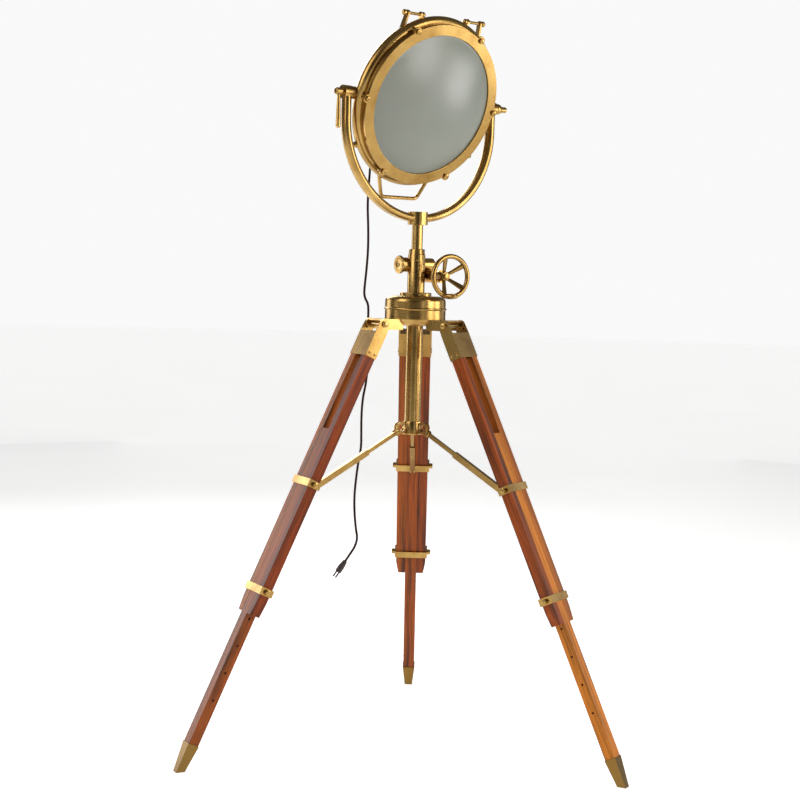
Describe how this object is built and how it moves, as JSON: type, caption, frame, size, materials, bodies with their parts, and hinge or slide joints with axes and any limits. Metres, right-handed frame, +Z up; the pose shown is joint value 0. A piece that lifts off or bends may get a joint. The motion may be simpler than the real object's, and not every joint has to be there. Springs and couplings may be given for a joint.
{
  "type": "tripod spotlight floor lamp",
  "caption": "Brass searchlight head in a U-shaped yoke on a handwheel-raised stem over an extending folding tripod of wood and brass.",
  "frame": {"origin": "on the floor under the middle of the three feet's bounding box", "axes": "+Z up, the lamp is looked at from -Y, the back leg points along +Y"},
  "size_m": [1.0668, 0.9239, 1.7979],
  "materials": {
    "brass": "satin antique brass, lightly brushed and lacquered",
    "wood": "red-brown rosewood, oiled",
    "steel": "machined steel",
    "lens_glass": "frosted grey-green domed glass",
    "bulb_glass": "pearl glass",
    "gasket": "black rubber",
    "reflector": "satin spun aluminium",
    "porcelain": "glazed ceramic look",
    "cord": "dark brown sheath",
    "plug": "dark brown moulded plastic"
  },
  "bodies": {
    "root": {"spreader_hub": "brass", "arm_pins": "brass", "hub_skirt": "brass", "hub_dome": "brass", "leg_brackets": "brass", "leg_pins": "brass", "base_tube": "brass", "cord_at_column": "cord", "cord_hanging": "cord", "plug": "plug"},
    "column_body": {"turntable": "brass", "column": "brass", "gear_housing": "brass", "barrel_cap": "brass", "cord_at_stem": "cord"},
    "stem_body": {"stem": "brass", "rack": "steel", "tee_collar": "brass", "yoke": "brass", "yoke_bosses": "brass", "cord_at_head": "cord"},
    "head_body": {"lamp_shell": "brass", "bezel": "brass", "bezel_screws": "brass", "gasket": "gasket", "lens": "lens_glass", "reflector": "reflector", "lampholder": "porcelain", "bulb": "bulb_glass", "cord_gland": "brass", "trunnions": "brass", "handle_brackets": "brass", "bail_handle": "brass"},
    "handwheel_body": {"handwheel": "brass", "wheel_shaft": "steel"},
    "crank_body": {"crank_handle": "brass"},
    "pinion_body": {"pinion": "steel"},
    "lever_body": {"tilt_lever": "brass"},
    "knob_body": {"pivot_knob": "brass"},
    "left_leg": {"left_leg_cap": "brass", "left_leg_rails": "wood", "left_leg_bands": "brass"},
    "left_foot": {"left_leg_slider": "wood", "left_foot_ferrule": "brass"},
    "left_arm": {"left_spreader_arm": "brass"},
    "left_sleeve": {"left_spreader_sleeve": "brass"},
    "right_leg": {"right_leg_cap": "brass", "right_leg_rails": "wood", "right_leg_bands": "brass"},
    "right_foot": {"right_leg_slider": "wood", "right_foot_ferrule": "brass"},
    "right_arm": {"right_spreader_arm": "brass"},
    "right_sleeve": {"right_spreader_sleeve": "brass"},
    "back_leg": {"back_leg_cap": "brass", "back_leg_rails": "wood", "back_leg_bands": "brass"},
    "back_foot": {"back_leg_slider": "wood", "back_foot_ferrule": "brass"},
    "back_arm": {"back_spreader_arm": "brass"},
    "back_sleeve": {"back_spreader_sleeve": "brass"}
  },
  "joints": [
    {"name": "column_pan", "type": "hinge", "parent": "root", "child": "column_body", "pos_m": [0, -0.15, 1.1239], "axis": [0, 0, 1], "range_deg": [-130, 50], "deforming": ["cord_at_column"]},
    {"name": "stem_lift", "type": "slide", "parent": "column_body", "child": "stem_body", "axis": [0, 0, 1], "range_m": [-0.04, 0.2], "deforming": ["cord_at_stem"]},
    {"name": "head_tilt", "type": "hinge", "parent": "stem_body", "child": "head_body", "pos_m": [0, -0.15, 1.6005], "axis": [0.7613, 0.6484, 0], "range_deg": [-60, 30], "deforming": ["cord_at_head"]},
    {"name": "handwheel_spin", "type": "hinge", "parent": "column_body", "child": "handwheel_body", "pos_m": [0.06455, -0.17962, 1.173], "axis": [0.5446, -0.8387, 0], "range_deg": [-1600, 400]},
    {"name": "pinion_spin", "type": "hinge", "parent": "column_body", "child": "pinion_body", "pos_m": [-0.01035, -0.13407, 1.1996], "axis": [0.8387, 0.5446, 0], "range_deg": [-1600, 400]},
    {"name": "crank_spin", "type": "hinge", "parent": "handwheel_body", "child": "crank_body", "pos_m": [0.06829, -0.22012, 1.12618], "axis": [0.5446, -0.8387, 0], "continuous": true},
    {"name": "lever_turn", "type": "hinge", "parent": "stem_body", "child": "lever_body", "pos_m": [-0.19109, -0.31274, 1.6005], "axis": [0.7613, 0.6484, 0], "range_deg": [-90, 90]},
    {"name": "knob_turn", "type": "hinge", "parent": "stem_body", "child": "knob_body", "pos_m": [0.19109, 0.01274, 1.6005], "axis": [0.7613, 0.6484, 0], "continuous": true},
    {"name": "left_leg_fold", "type": "hinge", "parent": "root", "child": "left_leg", "pos_m": [-0.09128, -0.2027, 1.0536], "axis": [0.5, -0.866, 0], "range_deg": [0, 15]},
    {"name": "left_leg_extend", "type": "slide", "parent": "left_leg", "child": "left_foot", "axis": [-0.368, -0.2125, -0.9052], "range_m": [-0.17, 0.27]},
    {"name": "left_arm_hinge", "type": "hinge", "parent": "root", "child": "left_arm", "pos_m": [-0.03897, -0.1725, 0.785], "axis": [0.5, -0.866, 0], "range_deg": [-0.5, 25]},
    {"name": "left_sleeve_slide", "type": "slide", "parent": "left_arm", "child": "left_sleeve", "axis": [-0.7496, -0.4328, -0.5007], "range_m": [-0.064, 0.001]},
    {"name": "right_leg_fold", "type": "hinge", "parent": "root", "child": "right_leg", "pos_m": [0.09128, -0.2027, 1.0536], "axis": [0.5, 0.866, 0], "range_deg": [0, 15]},
    {"name": "right_leg_extend", "type": "slide", "parent": "right_leg", "child": "right_foot", "axis": [0.368, -0.2125, -0.9052], "range_m": [-0.17, 0.27]},
    {"name": "right_arm_hinge", "type": "hinge", "parent": "root", "child": "right_arm", "pos_m": [0.03897, -0.1725, 0.785], "axis": [0.5, 0.866, 0], "range_deg": [-0.5, 25]},
    {"name": "right_sleeve_slide", "type": "slide", "parent": "right_arm", "child": "right_sleeve", "axis": [0.7496, -0.4328, -0.5007], "range_m": [-0.064, 0.001]},
    {"name": "back_leg_fold", "type": "hinge", "parent": "root", "child": "back_leg", "pos_m": [0, -0.0446, 1.0536], "axis": [-1, 0, 0], "range_deg": [0, 15]},
    {"name": "back_leg_extend", "type": "slide", "parent": "back_leg", "child": "back_foot", "axis": [0, 0.4249, -0.9052], "range_m": [-0.17, 0.27]},
    {"name": "back_arm_hinge", "type": "hinge", "parent": "root", "child": "back_arm", "pos_m": [0, -0.105, 0.785], "axis": [-1, 0, 0], "range_deg": [-0.5, 25]},
    {"name": "back_sleeve_slide", "type": "slide", "parent": "back_arm", "child": "back_sleeve", "axis": [0, 0.8656, -0.5007], "range_m": [-0.064, 0.001]}
  ],
  "couplings": [
    {"joint": "pinion_spin", "follows": "stem_lift", "rad_per_m": -133.33},
    {"joint": "handwheel_spin", "follows": "stem_lift", "rad_per_m": -133.33},
    {"joint": "left_arm_hinge", "follows": "left_leg_fold", "ratio": 1.6144},
    {"joint": "left_sleeve_slide", "follows": "left_leg_fold", "m_per_rad": -0.23975},
    {"joint": "right_arm_hinge", "follows": "right_leg_fold", "ratio": 1.6144},
    {"joint": "right_sleeve_slide", "follows": "right_leg_fold", "m_per_rad": -0.23975},
    {"joint": "back_arm_hinge", "follows": "back_leg_fold", "ratio": 1.6144},
    {"joint": "back_sleeve_slide", "follows": "back_leg_fold", "m_per_rad": -0.23975}
  ]
}
